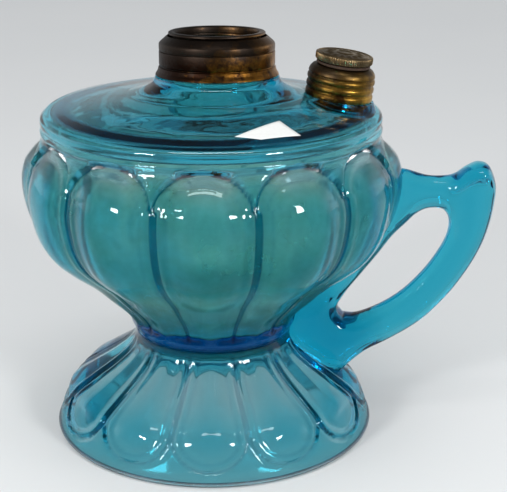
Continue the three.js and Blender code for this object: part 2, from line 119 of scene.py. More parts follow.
def table_top(tree):
    """Matt laminate, nearly white, with a faint broad mottle that keeps it from looking empty.

    Through the glass it shows a little brighter, and what the glass mirrors of its front half is painted
    dark, a painted shade as on a table that is lit from behind.
    """
    place = add(tree, "TexCoord").outputs["Object"]
    ray = add(tree, "LightPath").outputs
    mottle = add(tree, "TexNoise", Vector=place, Scale=spaced(166.7), Detail=3.0).outputs["Fac"]
    tone = add(tree, "ValToRGB", Fac=mottle)
    tone.color_ramp.elements[0].color = linear("#dcdddd")
    tone.color_ramp.elements[1].color = linear("#e2e2e1")
    matt = add(tree, "BsdfPrincipled", Base_Color=tone.outputs["Color"], Roughness=0.7).outputs[0]
    lit = add(tree, "Emission", Color=linear("#dfe4e6"), Strength=0.9).outputs[0]
    share = add(tree, "Math", {"operation": "MULTIPLY"}, _0=ray["Is Transmission Ray"], _1=0.55).outputs[0]
    bright = add(tree, "MixShader", _0=share, _1=matt, _2=lit).outputs[0]
    # painted shade: a dark floor that only the glass's reflections of the table's front half see
    shade = add(tree, "BsdfPrincipled", Base_Color=linear("#3c4245"), Roughness=0.7).outputs[0]
    mirrored = add(tree, "Math", {"operation": "MULTIPLY"}, _0=ray["Is Glossy Ray"],
                   _1=ray["Is Reflection Ray"]).outputs[0]
    back = add(tree, "SeparateXYZ", Vector=place).outputs["Y"]
    nearer = add(tree, "MapRange", Value=back, From_Min=-60 * MM, From_Max=80 * MM, To_Min=1.0,
                 To_Max=0.0).outputs[0]
    unlit = add(tree, "Math", {"operation": "MULTIPLY"}, _0=mirrored, _1=nearer).outputs[0]
    return add(tree, "MixShader", _0=unlit, _1=bright, _2=shade).outputs[0], None


floor_mesh = bpy.data.meshes.new("floor")
floor_corners = [(FLOOR_HALF * i, FLOOR_HALF * j, 0) for i, j in ((-1, -1), (1, -1), (1, 1), (-1, 1))]
floor_mesh.from_pydata(floor_corners, [], [(0, 1, 2, 3)])
floor = new_object("floor", floor_mesh)
floor.location.z = -FLOOR_DROP
floor_mesh.materials.append(material("matt_pale_table", table_top))

# The room is pale at eye height and dimmer overhead. What a surface mirrors is dimmer still, as in a dark
# studio with a lit backdrop, while the camera and the light on the floor see it pale.
world = bpy.data.worlds.new("room")
bpy.context.scene.world = world
world.use_nodes = True
room = world.node_tree
room.nodes.clear()
ray = add(room, "LightPath").outputs
direction = add(room, "SeparateXYZ", Vector=add(room, "TexCoord").outputs["Generated"]).outputs
overhead = add(room, "MapRange", Value=direction["Z"], From_Min=0.15, From_Max=0.75, To_Min=0.8,
               To_Max=0.4).outputs[0]
behind = add(room, "MapRange", Value=direction["Y"], From_Min=-0.3, From_Max=0.3, To_Min=0.05,
             To_Max=0.5).outputs[0]
sideways = add(room, "Math", {"operation": "ABSOLUTE"}, _0=direction["X"]).outputs[0]
beside = add(room, "MapRange", Value=sideways, From_Min=0.5, From_Max=0.85, To_Min=0.0, To_Max=0.9).outputs[0]
not_front = add(room, "MapRange", Value=direction["Y"], From_Min=-0.1, From_Max=0.25, To_Min=0.0,
                To_Max=1.0).outputs[0]
around = add(room, "Math", {"operation": "MULTIPLY_ADD"}, _0=beside, _1=not_front, _2=behind).outputs[0]
low = add(room, "MapRange", Value=direction["Z"], From_Min=0.2, From_Max=0.55, To_Min=1.0,
          To_Max=0.15).outputs[0]
backdrop = add(room, "Math", {"operation": "MULTIPLY"}, _0=around, _1=low).outputs[0]
mirrored = add(room, "Math", {"operation": "MULTIPLY"}, _0=ray["Is Glossy Ray"],
               _1=ray["Is Reflection Ray"]).outputs[0]
seen = add(room, "Mix", _0=mirrored, _2=overhead, _3=backdrop).outputs[0]
plain = add(room, "Math", {"operation": "MAXIMUM"}, _0=ray["Is Camera Ray"],
            _1=ray["Is Diffuse Ray"]).outputs[0]
strength = add(room, "Mix", _0=plain, _2=seen, _3=0.86).outputs[0]
glow = add(room, "Background", Color=linear("#f2f5f8"), Strength=strength).outputs[0]
add(room, "OutputWorld", Surface=glow)
bpy.context.scene.view_settings.view_transform = "Standard"

BELLY = (AXIS_X, 0, 70 * MM)  # the soft boxes point at the middle of the font
SOFT_BOX_SIDE, SOFT_BOX_WATTS = 0.13, 1.9
LONG_BOX_SIZE, LONG_BOX_WATTS = (0.36, 0.05), 0.4


def soft_box(name, place, size, watts):
    light = bpy.data.lights.new(name, "AREA")
    light.shape, light.energy = "RECTANGLE", watts
    light.size, light.size_y = size
    made = new_object(name, light)
    made.location = place
    made.rotation_euler = (Vector(BELLY) - Vector(place)).to_track_quat("-Z", "Y").to_euler()
    return made


soft_box("soft_box_left", (-0.41, -0.45, 0.30), (SOFT_BOX_SIDE, SOFT_BOX_SIDE), SOFT_BOX_WATTS)
soft_box("soft_box_right", (0.39, -0.45, 0.30), (SOFT_BOX_SIDE, SOFT_BOX_SIDE), SOFT_BOX_WATTS)
soft_box("soft_box_above", (AXIS_X, -0.16, 0.62), LONG_BOX_SIZE, LONG_BOX_WATTS).visible_transmission = False
bpy.context.scene.cycles.max_bounces = bpy.context.scene.cycles.transmission_bounces = 24

# GLASS. One pressed and blown piece of clear blue glass: the foot, the wafer at the waist, and the font with
# its shoulder and neck. Twelve loops run round the font and round the foot, with sunk strips between them. It
# is one closed skin, because inner faces would show in clear glass. All its sizes are in mm.
LOOPS = 12
SECTOR = 2 * math.pi / LOOPS
STRIP = 2.4  # sunk strip between two loops
BORDER = 0.35  # rise of the rounded border that runs round each loop
SWELL = 2.0  # rise from a loop's edge to its middle
SUNK = 0.45  # floor of the strip below the loop's edge
FULL_RADIUS, TAPER = 50, 0.8  # within this radius the strips narrow with this power of it
PARTING, MISMATCH = 77.3, 0.9  # where the mould's halves meet, and how far the upper one sits to one side
BELLY_RADIUS = 52
INNER_SWELL, INNER_RIDGE = 2.1, 0.6  # of the wall inside: hollow behind each loop, proud behind each strip

# Outlines from the lamp's axis: (radius, height) of the highest parts of the relief
FOOT_HOLLOW = [(0.6, 27.6), (9, 27.5), (15, 26.9), (18.8, 25.3), (21.6, 23), (26, 19.4), (32, 14.6),
               (37.6, 8.2), (40.6, 2.8), (41.6, 0.7), (42.4, 0)]
FOOT_EDGE = [(42.4, 0), (43.8, 0), (44.4, 0.2), (44.75, 0.6), (44.9, 1.1)]
FOOT_OUT = [(44.9, 1.1), (44.75, 2.4), (44.15, 5), (42.95, 8), (40.6, 12), (35.2, 16), (29.2, 20), (25.4, 23),
            (23.2, 25), (22.3, 26.3), (22.0, 27.4)]
WAIST = [(22.0, 27.4), (22.1, 28.4), (22.5, 29.7), (23.2, 31.2)]
FONT_OUT = [(23.2, 31.2), (26.5, 36), (30.5, 40), (35.5, 45), (41.8, 50), (46.9, 55), (49.8, 60), (51.3, 65),
            (52.0, 70), (51.95, 73), (51.3, 76), (49.5, 80), (47.1, 84), (46.1, 86.4)]
RIM = [(46.1, 86.4), (45.75, 87.0), (45.6, 87.25), (45.85, 87.6), (46.0, 88.5), (45.98, 89.3), (45.8, 89.75),
       (45.5, 90.1), (44.9, 90.65), (44.6, 90.9), (44.1, 91.15)]
SHOULDER = [(44.1, 91.15), (43, 91.4), (41.5, 91.8), (40, 92.15), (38.5, 92.45), (32, 93.75), (24, 95.3)]
FLARE = [(24, 95.3), (20.2, 96.6), (17.6, 98.2), (16.6, 99.9)]
NECK = [(16.6, 99.9), (13.6, 99.9), (13.6, 106.8), (13.3, 107.2), (12.5, 107.2), (12.2, 106.8), (12.2, 97.6)]
RESERVOIR = [(12.2, 97.6), (14.5, 95.1), (24, 92.5), (30, 91.4), (35.6, 90.4), (38.0, 89.9), (40.0, 89.63),
             (42.0, 89.35), (43.4, 88.7), (44.2, 87.5), (44.5, 86.2), (45.4, 81), (47.0, 75), (47.5, 69),
             (45.9, 62), (42.6, 56), (37.2, 50.4), (31.6, 45.2), (26, 40.2), (22, 36.6), (19.6, 34.2),
             (16.5, 32.8), (12, 32.3), (0.6, 32.1)]

# What differs between the loops of the font and those of the foot
FONT_LOOPS = {
    "sides_end": 77.3,  # height where a loop's straight sides end
    "tip": 85.2,  # height of the tip of its round end
    "field": 1.1,  # level of the plain glass past the tip
    "bead": 0.0,  # bead along the loop's edge
    "rise": (2.2, 1.6),  # how far from each end of the outline the relief takes to rise
    "share": 1.0,  # the relief's share of its full height
    "taper": TAPER,  # the power of the radius with which that shrinks
    "strip_shade_paint": 1.0,  # how much painted shade darkens the strips
    "shade_lines": [(0.28, 2.4, 0.4), (0.14, 4.9, 0.6)],  # faint lines of painted shade: colour, distance from edge, half width
}
FOOT_LOOPS = {"sides_end": 11.5, "tip": 4.4, "field": 1.05, "bead": 0.6, "rise": (0.5, 7.0), "share": 0.6,
              "taper": 0.0, "strip_shade_paint": 0.45, "shade_lines": [(0.2, 1.9, 0.35)]}


def smooth_step(low, high, x):
    t = np.clip((x - low) / (high - low), 0, 1)
    return t * t * (3 - 2 * t)


def smooth_line(points, step):
    """Catmull-Rom curve through 2-D points, sampled about every step."""
    p = np.array(points, float)
    p = np.vstack([2 * p[0] - p[1], p, 2 * p[-1] - p[-2]])
    out = []
    for a, b, c, d in zip(p[:-3], p[1:-2], p[2:-1], p[3:]):
        t1 = max(np.linalg.norm(b - a), 1e-6) ** 0.5
        t2 = t1 + np.linalg.norm(c - b) ** 0.5
        t3 = t2 + max(np.linalg.norm(d - c), 1e-6) ** 0.5
        t = np.linspace(t1, t2, max(2, math.ceil(np.linalg.norm(c - b) / step) + 1))[:-1, None]
        ab = a + (b - a) * t / t1
        bc = b + (c - b) * (t - t1) / (t2 - t1)
        cd = c + (d - c) * (t - t2) / (t3 - t2)
        abc = ab + (bc - ab) * t / t2
        bcd = bc + (cd - bc) * (t - t1) / (t3 - t1)
        out.append(abc + (bcd - abc) * (t - t1) / (t2 - t1))
    return np.vstack([*out, p[-2]])


def straight_line(points, step):
    """The same points with corners kept, sampled about every step."""
    out = []
    for a, b in zip(points[:-1], points[1:]):
        count = max(1, math.ceil(math.dist(a, b) / step))
        out += [np.add(a, np.subtract(b, a) * i / count) for i in range(count)]
    return np.array([*out, points[-1]])


def stepped_line(points, low, high, fine, coarse):
    """A smooth line with fine steps between two heights and coarse ones elsewhere."""
    line = smooth_line(points, fine)
    keep = [0]
    for i in range(1, len(line) - 1):
        step = fine if low < line[i, 1] < high else coarse
        if np.linalg.norm(line[i] - line[keep[-1]]) >= step * 0.99:
            keep.append(i)
    return line[[*keep, len(line) - 1]]


def loop_depth(turn, r, s, s_part, s_tip):
    """Distance from a place on the glass to its loop's edge, below 0 outside, and its share of round end."""
    x = np.abs(turn - np.round(turn / SECTOR) * SECTOR) * r
    half = r * SECTOR / 2 - STRIP / 2 * np.minimum(r / FULL_RADIUS, 1) ** TAPER
    past = (s - s_part) * math.copysign(1, s_tip - s_part)
    a, b = np.interp(s_part, s[:, 0], half[:, 0]), abs(s_tip - s_part)  # the round end is half an ellipse
    f = np.sqrt((x / a) ** 2 + (past / b) ** 2) + 1e-6
    g = np.sqrt((x / a ** 2) ** 2 + (past / b ** 2) ** 2) + 1e-6
    return np.where(past > 0, (1 - f) * f / g, half - x), smooth_step(-1, 3, past)


def relief(depth, field, ditch, bead):
    """Height of the glass over a loop's edge: swelling inside, sunk just outside, at field's level beyond."""
    border = smooth_step(-0.15, 1.0, depth)
    lens = 0.1 * smooth_step(2.4, 3.4, depth) + 0.9 * (1 - (1 - np.clip((depth - 3.0) / 8.6, 0, 1)) ** 2)
    inside = BORDER * border + (SWELL - BORDER) * lens
    inside += bead * smooth_step(0, 0.7, depth) * smooth_step(2.3, 1.3, depth)
    floor_to_edge = smooth_step(-0.7, 0.0, depth)
    field_to_floor = smooth_step(-ditch, 0.65 - ditch, depth)
    outside = -SUNK + (field + SUNK) * (1 - field_to_floor)
    return np.where(depth > 0, inside, outside * (1 - floor_to_edge))


# Columns of points round the glass: close together at each strip and its borders, wider over the loops
SECTOR_WIDTH = 26.5  # on the belly
near_strip = np.concatenate([np.linspace(0, 1.2, 9), [1.6, 2.1, 2.7, 3.5, 4.5]]) / SECTOR_WIDTH
over_loop = np.linspace(0.2, 0.8, 13)
one_sector = np.concatenate([near_strip, over_loop, 1 - near_strip[:0:-1]]) * SECTOR - SECTOR / 2
turns = np.concatenate([one_sector + k * SECTOR for k in range(LOOPS)])[None, :]


def glass_rows(line, loops=None):
    """Rings of points round the glass along a line of (radius, height): radii, heights, depth of painted
    shade.
    """
    r, z = line[:, :1], line[:, 1:]
    if loops is None:
        no_relief = np.zeros((len(line), turns.size))
        return r + no_relief, z + no_relief, no_relief
    along = np.gradient(line, axis=0)
    along /= np.linalg.norm(along, axis=1)[:, None]
    s = np.concatenate([[0], np.cumsum(np.linalg.norm(np.diff(line, axis=0), axis=1))])[:, None]
    s_part, s_tip = (np.interp(loops[name], line[:, 1], s[:, 0]) for name in ("sides_end", "tip"))
    shifted = turns + MISMATCH / BELLY_RADIUS * smooth_step(PARTING - 0.2, PARTING + 0.2, z)
    depth, arch = loop_depth(shifted, r, s, s_part, s_tip)
    ditch = 2.1 - 0.9 * arch  # how far from the edge the sunk strip reaches, less round a loop's end
    # Painted shade: the sunk strips and faint lines inside each loop get a deeper blue than the glass has
    shade_paint = loops["strip_shade_paint"] * smooth_step(0.3 - ditch, 0.6 - ditch, depth) * smooth_step(0, -0.25, depth)
    for strength, middle, half_width in loops["shade_lines"]:
        shade_paint += strength * np.exp(-((depth - middle) / half_width) ** 2)
    first, last = loops["rise"]
    rise = smooth_step(0, first, s) * smooth_step(0, last, s[-1] - s)
    share = loops["share"] * np.minimum(r / FULL_RADIUS, 1) ** loops["taper"]
    height = (relief(depth, loops["field"], ditch, loops["bead"]) - SWELL) * rise * share
    return r + along[:, 1:] * height, z - along[:, :1] * height, shade_paint


parts = {
    "hollow": glass_rows(smooth_line(FOOT_HOLLOW, 1.6)),
    "edge": glass_rows(straight_line(FOOT_EDGE, 0.5)),
    "foot": glass_rows(stepped_line(FOOT_OUT, 1.5, 13, 0.24, 0.9), FOOT_LOOPS),
    "waist": glass_rows(smooth_line(WAIST, 0.5)),
    "font": glass_rows(stepped_line(FONT_OUT, 75.5, 87, 0.24, 0.95), FONT_LOOPS),
    "rim": glass_rows(smooth_line(RIM, 0.25)),
    "shoulder": glass_rows(smooth_line(SHOULDER, 0.7)),
    "flare": glass_rows(smooth_line(FLARE, 0.5)),
    "neck": glass_rows(straight_line(NECK, 0.9)),
    "reservoir": glass_rows(smooth_line(RESERVOIR, 1.5)),
}
part_of = np.repeat(list(parts), [len(r) for r, _, _ in parts.values()])  # which part each ring belongs to
radius, height, painted_shade_rows = (np.vstack(rows) for rows in zip(*parts.values()))
top, neck, inner = np.isin(part_of, ("shoulder", "flare")), part_of == "neck", part_of == "reservoir"

off_strip = np.abs(turns - (np.floor(turns / SECTOR) + 0.5) * SECTOR) * radius[inner]
radius[inner] += (INNER_SWELL * smooth_step(1.0, 9.0, off_strip) - INNER_RIDGE) * \
    smooth_step(40, 50, height[inner]) * smooth_step(86, 78, height[inner])
x, y = radius * np.cos(turns), radius * np.sin(turns)

# The filler's boss rises out of the shoulder to a flat seat that leans outward
FILLER_X, FILLER_Z, FILLER_LEAN = 34.1, 94.2, math.radians(7.5)
BOSS_RADIUS, BOSS_SPREAD, BOSS_BELOW = 9.3, 7.2, 0.3
away = np.hypot(x[top] - FILLER_X, y[top])
seat = FILLER_Z - BOSS_BELOW - (x[top] - FILLER_X) * math.tan(FILLER_LEAN)
boss = (1 - np.clip((away - BOSS_RADIUS) / BOSS_SPREAD, 0, 1)) ** 2.1 * smooth_step(45.2, 43.6, radius[top])
height[top] += np.maximum(seat - height[top], 0) * boss

# The rim leans by a degree, and the neck with the burner collar's seat leans by four to one side
SEAT_Z = 100.2
COLLAR_SHIFT, COLLAR_LEAN, RIM_LEAN = 1.6, math.radians(4), math.radians(1.05)
collar_turn = Euler((-COLLAR_LEAN, 0, 0)).to_matrix().to_4x4()
collar_place = Matrix.Translation((COLLAR_SHIFT, 0, SEAT_Z)) @ collar_turn
on_top = np.zeros(len(radius))  # how far each ring belongs to the leaning neck
on_top[top] = smooth_step(45, 17, radius[top].mean(axis=1))
on_top[neck] = 1
on_top[inner] = smooth_step(20, 12.5, radius[inner].mean(axis=1)) * (height[inner, 0] > 70)
height = height - y * math.tan(RIM_LEAN) * smooth_step(72, 87, height) * (1 - on_top[:, None])
upright = np.stack([x, y, height], axis=-1)
turned = np.stack([x, y, height - SEAT_Z], axis=-1) @ np.array(collar_place.to_3x3()).T
leaning = turned + np.array(collar_place.translation)
rings = upright + (leaning - upright) * on_top[:, None, None]

# Neighbouring parts share their end ring, so the second copy goes
keep = np.append(True, part_of[1:] == part_of[:-1])
rings, painted_shade_rows, radius, height, part_of = (a[keep] for a in (rings, painted_shade_rows, radius, height, part_of))
hollow, edge, inner = ((part_of == name)[:, None] for name in ("hollow", "edge", "reservoir"))

# Where the glass isn't bright: dried oil films the wall inside up to the shoulder, most of all low down, the
# foot's edge is scuffed from standing, and a ring behind the rim gets painted shade, a deeper blue and some
# film
oily = inner * (0.75 * smooth_step(86.5, 80.5, height) + 0.25 * smooth_step(62, 44, height))
scuffed = edge + hollow * smooth_step(38, 41.5, radius)
# painted shade: the dark ring seen behind the rim
painted_rim_shade = inner * (height > 88) * smooth_step(37.2, 38.4, radius) * smooth_step(42.8, 41.8, radius)
film_and_ring_shade = oily + 0.4 * scuffed + 0.3 * hollow * (1 - scuffed) + 0.4 * painted_rim_shade
painted_shade_rows = painted_shade_rows + painted_rim_shade


def mesh_of(name, points, faces):
    """Smooth mesh in metres from points in mm, with its sharper edges kept sharp."""
    mesh = bpy.data.meshes.new(name)
    mesh.from_pydata(np.asarray(points, float) * MM, [], faces)
    mesh.validate()
    mesh.shade_smooth()
    mesh.set_sharp_from_angle(angle=math.radians(35))
    return mesh


def grid_faces(rows, columns, closed_rows=False):
    """Quads of a grid that closes round its columns, and along its rows if asked."""
    i, j = np.meshgrid(np.arange(rows if closed_rows else rows - 1), np.arange(columns), indexing="ij")
    i2, j2 = (i + 1) % rows, (j + 1) % columns
    corners = [i * columns + j, i * columns + j2, i2 * columns + j2, i2 * columns + j]
    return np.stack(corners, axis=-1).reshape(-1, 4)


rows, columns = rings.shape[:2]
points = rings.reshape(-1, 3)
faces = grid_faces(rows, columns).tolist()
faces += [[len(points), (j + 1) % columns, j] for j in range(columns)]
last = (rows - 1) * columns
faces += [[len(points) + 1, last + j, last + (j + 1) % columns] for j in range(columns)]
points = np.vstack([points, rings[0].mean(axis=0), rings[-1].mean(axis=0)])
points[:, 0] += AXIS_X / MM
glass = new_object("glass_lamp", mesh_of("glass_lamp", points, faces))
clean = np.isin(part_of, ("waist", "rim"))[:, None] * np.ones(columns)
for name, values in (("painted_shade", painted_shade_rows), ("film_and_ring_shade", film_and_ring_shade), ("clean", clean)):
    layer = glass.data.attributes.new(name, "FLOAT", "POINT")
    layer.data.foreach_set("value", np.append(values.ravel(), [0.0, values[-1, 0]]).astype(np.float32))

# HANDLE. A flat loop of pressed glass for one finger, rounded at its edges, with a thumb rest that spreads to
# both sides at its top. It is stuck on hot, so it runs into the font, the waist and the foot.
HANDLE_OUT = [(49.6, 74.2), (53.0, 73.8), (58.9, 72.1), (62.9, 71.9), (66.5, 72.3), (69.6, 74.4),
              (72.8, 75.75), (75.4, 75.1), (77.1, 72.0), (77.85, 68.8), (77.7, 65.1), (76.8, 59.2),
              (75.1, 53.2), (72.8, 48.0), (69.9, 43.0), (66.4, 38.0), (58.6, 29.7), (49.3, 23.6),
              (43.5, 20.7), (39.8, 17.9), (36.2, 14.2)]
THUMB_TOP = np.array(HANDLE_OUT[3:9])
HANDLE_ROOT = [(36.2, 14.2), (31.5, 15.2), (26.6, 18.6), (21.5, 22.6), (19.5, 26), (19.5, 31), (23.5, 37.5),
               (29.3, 42), (36.0, 47.5), (41.7, 52.5), (46.4, 58), (48.8, 64), (49.6, 69), (49.6, 74.2)]
FINGER_HOLE = [(36.9, 31.3), (39.9, 31.1), (45.3, 33.2), (52.4, 37.7), (58.2, 43.6), (61.9, 48.8),
               (64.7, 54.3), (65.4, 58.4), (64.7, 61.1), (63.1, 62.7), (59.2, 62.8), (56.2, 61.3),
               (53.5, 58.6), (50, 55), (46, 49.5), (41, 43), (36.8, 37.5), (35.1, 34)]
HALF_THICK, EDGE_ROUND = 4.25, 3.0
CROWN, CROWN_WIDTH = 0.6, 8  # the flat faces swell by this much from edge to middle
BEVEL, BEVEL_WIDTH = 0.5, 2.8  # fall of the faces towards the rounded edge, as a slope
RING_DEPTHS = (0.05, 0.18, 0.4, 0.72, 1.15, 1.7, 2.3, 2.8, 3.2)  # rings of points that follow the edges
CELL, CELL_CLEAR = 1.1, 3.5  # the points over the rest, and how far they stay from the edges
THUMB_SPREAD, ROOT_SPREAD = 0.7, 0.5  # how much thicker the handle is at its thumb rest and at its root


def inside_outline(points, outline):
    """True for each point within a closed outline."""
    a, b = outline, np.roll(outline, -1, axis=0)
    px, pz = points[:, :1], points[:, 1:]
    crosses = (a[:, 1] > pz) != (b[:, 1] > pz)
    span = np.where(b[:, 1] == a[:, 1], 1e-9, b[:, 1] - a[:, 1])
    return (crosses & (px < a[:, 0] + (pz - a[:, 1]) * (b[:, 0] - a[:, 0]) / span)).sum(axis=1) % 2 == 1


def distance_to(points, outline):
    """Shortest distance from each point to a closed outline."""
    best = np.full(len(points), 1e9)
    for a, b in zip(outline, np.roll(outline, -1, axis=0)):
        t = np.clip(((points - a) @ (b - a)) / max((b - a) @ (b - a), 1e-9), 0, 1)
        best = np.minimum(best, np.linalg.norm(points - a - t[:, None] * (b - a), axis=1))
    return best


def signed_area(outline):
    """Twice the area of a closed outline, negative where it runs clockwise."""
    return np.sum(outline[:, 0] * np.roll(outline[:, 1], -1) - np.roll(outline[:, 0], -1) * outline[:, 1])


def offset(outline, by):
    """Outline moved to the right of its own direction."""
    along = np.roll(outline, -1, axis=0) - np.roll(outline, 1, axis=0)
    normal = np.stack([along[:, 1], -along[:, 0]], axis=1) / np.linalg.norm(along, axis=1)[:, None]
    return outline + normal * by


def on_handle(points):
    return inside_outline(points, outer_line) & ~inside_outline(points, hole_line)


def edge_distance(points):
    return np.minimum(distance_to(points, outer_line), distance_to(points, hole_line))


outer_line = np.vstack([smooth_line(HANDLE_OUT, 0.45)[:-1], straight_line(HANDLE_ROOT, 0.9)[:-1]])
hole_line = smooth_line([*FINGER_HOLE, FINGER_HOLE[0]], 0.45)[:-1]
to_solid = ((outer_line, -math.copysign(1, signed_area(outer_line))),
            (hole_line, math.copysign(1, signed_area(hole_line))))
cloud = [outer_line, hole_line]
for by in RING_DEPTHS:
    for line, sign in to_solid:
        ring = offset(line, by * sign)
        cloud.append(ring[(edge_distance(ring) > by * 0.93) & on_handle(ring)])
gx, gz = np.meshgrid(np.arange(18, 80, CELL), np.arange(12, 78, CELL))
grid = np.stack([gx.ravel() + CELL / 2 * (np.indices(gx.shape)[0].ravel() % 2), gz.ravel()], axis=1)
cloud.append(grid[(edge_distance(grid) > CELL_CLEAR) & on_handle(grid)])
cloud = np.vstack(cloud)
n_out, n_hole = len(outer_line), len(hole_line)
edges = [(i, (i + 1) % n_out) for i in range(n_out)]
edges += [(n_out + i, n_out + (i + 1) % n_hole) for i in range(n_hole)]
flat, _, tri, *_ = delaunay_2d_cdt([Vector(p) for p in cloud], edges, [], 0, 1e-5)
flat = np.array([tuple(p) for p in flat])
tri = np.array([f for f in tri if len(f) == 3])
depth = edge_distance(flat)
on_edge = depth < 1e-4
area = np.cross(flat[tri[:, 1]] - flat[tri[:, 0]], flat[tri[:, 2]] - flat[tri[:, 0]])
sliver = on_edge[tri].all(axis=1) & (abs(area) < 1e-3)
wanted = on_handle(flat[tri].mean(axis=1)) & ~sliver
tri = np.where((area > 0)[:, None], tri, tri[:, ::-1])[wanted]

u = np.clip(depth / EDGE_ROUND, 0, 1)
face = HALF_THICK - CROWN
bevelled = face - BEVEL * np.clip(BEVEL_WIDTH - depth, 0, None)
thick = np.minimum(face * np.sqrt(1 - (1 - u) ** 2), bevelled) + CROWN * smooth_step(0, CROWN_WIDTH, depth)
thumb_rest = smooth_step(62.5, 68, flat[:, 0]) * smooth_step(78.5, 75, flat[:, 0])
below_top = np.interp(flat[:, 0], THUMB_TOP[:, 0], THUMB_TOP[:, 1]) - flat[:, 1]
thick = thick * (1 + THUMB_SPREAD * thumb_rest * smooth_step(5.5, 1.2, below_top))
thick = thick * (1 + ROOT_SPREAD * smooth_step(50, 38, flat[:, 0]) * smooth_step(45, 30, flat[:, 1]))
front = np.stack([flat[:, 0] + AXIS_X / MM, -thick, flat[:, 1]], axis=1)
back_index = np.arange(len(flat))
back_index[~on_edge] = len(flat) + np.arange((~on_edge).sum())
handle_points = np.vstack([front, front[~on_edge] * (1, -1, 1)])
handle_faces = tri.tolist() + back_index[tri][:, ::-1].tolist()
handle_mesh = mesh_of("glass_handle", handle_points, handle_faces)

# FILLER TUBE. A short upright spout of the same glass on the boss, which the filler's collar is set on. Its
# bore opens into the reservoir.
FILLER_TUBE = [(5.0, -1.5), (7.0, -1.5), (7.0, 4.3), (6.8, 4.5), (5.0, 4.5)]
FILLER_BORE = [(0.02, -9), (5.6, -9), (5.6, 6), (0.02, 6)]


def lathe(name, outline, columns, place, wave=None):
    """Ring-shaped solid turned about its own axis from a closed outline of (radius, height), set at place."""
    line = np.array(outline, float)
    turn = np.linspace(0, 2 * math.pi, columns, endpoint=False)[None, :]
    r, z = np.repeat(line[:, :1], columns, axis=1), np.repeat(line[:, 1:], columns, axis=1)
    if wave:
        r, z = wave(r, z, turn)
    local = np.stack([r * np.cos(turn), r * np.sin(turn), z], axis=-1).reshape(-1, 3)
    world = local @ np.array(place.to_3x3()).T + np.array(place.translation)
    world[:, 0] += AXIS_X / MM
    quads = grid_faces(len(line), columns, True)
    return mesh_of(name, world, (quads if signed_area(line) > 0 else quads[:, ::-1]).tolist())


def combine(obj, mesh, operation):
    """Joins a mesh to obj or cuts it away, and keeps the result as obj's own mesh."""
    tool = new_object(mesh.name, mesh)
    change = obj.modifiers.new(operation, "BOOLEAN")
    change.operation, change.object, change.solver = operation, tool, "MANIFOLD"
    bpy.context.view_layer.update()
    done = bpy.data.meshes.new_from_object(obj.evaluated_get(bpy.context.evaluated_depsgraph_get()))
    obj.modifiers.clear()
    obj.data = done
    bpy.data.objects.remove(tool)


filler_place = Matrix.Translation((FILLER_X, 0, FILLER_Z)) @ Euler((0, FILLER_LEAN, 0)).to_matrix().to_4x4()
combine(glass, handle_mesh, "UNION")
combine(glass, lathe("filler_tube", FILLER_TUBE, 64, filler_place), "UNION")
combine(glass, lathe("filler_bore", FILLER_BORE, 64, filler_place), "DIFFERENCE")
glass.data.shade_smooth()
glass.data.set_sharp_from_angle(angle=math.radians(40))
GLASS_IOR = 1.52


def blue_glass(tree):
    """Soda glass, blue through and through and fire-polished: pale in thin walls, deep along the glass.

    The mould leaves it faintly wavy. Dried oil makes the wall inside rough and partly matt, with yellow and
    olive stains, and handling leaves a thin haze on the outside, but not on the waist and the rim. The sunk
    strips, faint lines inside each loop and a ring behind the rim are painted a deeper blue: painted shade.
    """
    place = add(tree, "TexCoord").outputs["Object"]
    painted_shade = add(tree, "Attribute", {"attribute_name": "painted_shade"}).outputs["Fac"]
    film_and_ring_shade = add(tree, "Attribute", {"attribute_name": "film_and_ring_shade"}).outputs["Fac"]
    clean = add(tree, "Attribute", {"attribute_name": "clean"}).outputs["Fac"]
    wavy = add(tree, "TexNoise", Vector=place, Scale=spaced(8.333), Detail=2.0, Roughness=0.4).outputs["Fac"]
    lumps = add(tree, "Bump", Height=wavy, Strength=0.12, Distance=0.3 * MM).outputs["Normal"]
    clouds = add(tree, "TexNoise", Vector=place, Scale=spaced(25), Detail=5.0, Roughness=0.6).outputs["Fac"]
    # the ring behind the rim shares this film as painted shade; elsewhere it is dried oil
    grease_and_ring_shade = add(tree, "Math", {"operation": "POWER"}, _0=film_and_ring_shade, _1=2.0).outputs[0]
    stain = add(tree, "ValToRGB", Fac=clouds)
    olive, straw = stain.color_ramp.elements
    olive.position, olive.color = 0.35, linear("#ffebaa")
    straw.position, straw.color = 0.65, linear("#ffffe7")
    inside = add(tree, "Mix", {"data_type": "RGBA"}, Factor=grease_and_ring_shade, _6=linear("#ffffff"),
                 _7=stain.outputs["Color"])
    # painted shade: strips, loop lines and the ring behind the rim take a deeper blue
    with_painted_shade = add(tree, "Mix", {"data_type": "RGBA"}, Factor=painted_shade, _6=inside.outputs[2], _7=linear("#077ca2"))
    hazy = add(tree, "Math", {"operation": "SUBTRACT"}, _0=1.0, _1=clean).outputs[0]
    worn = add(tree, "Mix", {"data_type": "RGBA", "blend_type": "MULTIPLY"}, Factor=hazy, _6=with_painted_shade.outputs[2],
               _7=linear("#e7eaef"))
    dull = add(tree, "MapRange", Value=film_and_ring_shade, To_Min=0.015, To_Max=0.2).outputs[0]
    soil_and_ring_shade = add(tree, "Math", {"operation": "MULTIPLY"}, _0=film_and_ring_shade, _1=clouds).outputs[0]
    clear = add(tree, "MapRange", Value=soil_and_ring_shade, From_Max=0.6, To_Min=1.0, To_Max=0.4).outputs[0]
    skin = add(tree, "BsdfPrincipled", Base_Color=worn.outputs[2], Roughness=dull, IOR=GLASS_IOR,
               Transmission_Weight=clear, Normal=lumps)
    body = add(tree, "VolumeAbsorption", Color=linear("#58edf6"), Density=410.0)
    return skin.outputs[0], body.outputs[0]


glass.data.materials.clear()
glass.data.materials.append(material("fire_polished_blue_glass", blue_glass))
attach(glass, "lamp")
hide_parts("foot", "waist_wafer", "font", "handle")

